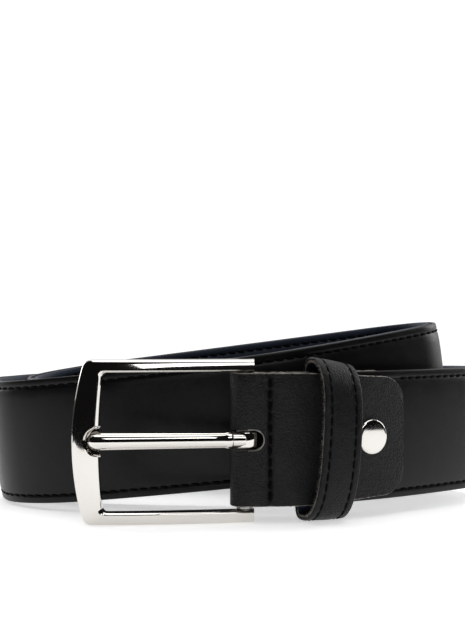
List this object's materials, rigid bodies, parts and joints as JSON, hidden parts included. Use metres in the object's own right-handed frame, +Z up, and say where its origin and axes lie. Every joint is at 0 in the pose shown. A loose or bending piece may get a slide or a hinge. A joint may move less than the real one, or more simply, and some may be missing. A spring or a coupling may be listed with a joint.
{
  "type": "dress belt",
  "caption": "Leather dress belt coiled on its edge, with a folded chape, a sliding keeper, a rivet and an open frame buckle with a swinging prong.",
  "frame": {"origin": "on the floor under the middle of the whole coiled belt", "axes": "+Z up, +X to the right seen from the buckle's side, +Y away from the buckle's side"},
  "size_m": [0.1465, 0.0894, 0.0524],
  "materials": {
    "strap_leather": "smooth black dress leather",
    "core_leather": "painted edge",
    "lining_leather": "fine grained dark lining",
    "chape_leather": "pebbled black leather",
    "keeper_leather": "pebbled black leather",
    "thread": "black sewing thread",
    "plated_metal": "polished nickel plate",
    "bare_steel": "plain steel"
  },
  "bodies": {
    "strap": {"strap_outer": "strap_leather", "strap_core": "core_leather", "strap_lining": "lining_leather", "strap_needle_thread": "thread", "strap_bobbin_thread": "thread", "chape": "chape_leather", "chape_thread": "thread", "rivet_cap": "plated_metal", "rivet_post": "bare_steel"},
    "buckle": {"buckle_frame": "plated_metal", "buckle_bar": "bare_steel"},
    "prong": {"prong": "plated_metal"},
    "keeper": {"keeper_outer": "keeper_leather", "keeper_lining": "lining_leather", "keeper_thread": "thread", "keeper_staple": "bare_steel"}
  },
  "joints": [
    {"name": "buckle_hinge", "type": "hinge", "parent": "strap", "child": "buckle", "pos_m": [0.0023, -0.0353, 0.0215], "axis": [0, 0, 1], "range_deg": [0, 25]},
    {"name": "prong_hinge", "type": "hinge", "parent": "buckle", "child": "prong", "pos_m": [0.0023, -0.0353, 0.0215], "axis": [0, 0, 1], "range_deg": [0, 52]},
    {"name": "keeper_slide", "type": "hinge", "parent": "strap", "child": "keeper", "pos_m": [0.00574, 0.01071, 0.021], "axis": [0, 0, 1], "range_deg": [-9, 0]}
  ]
}
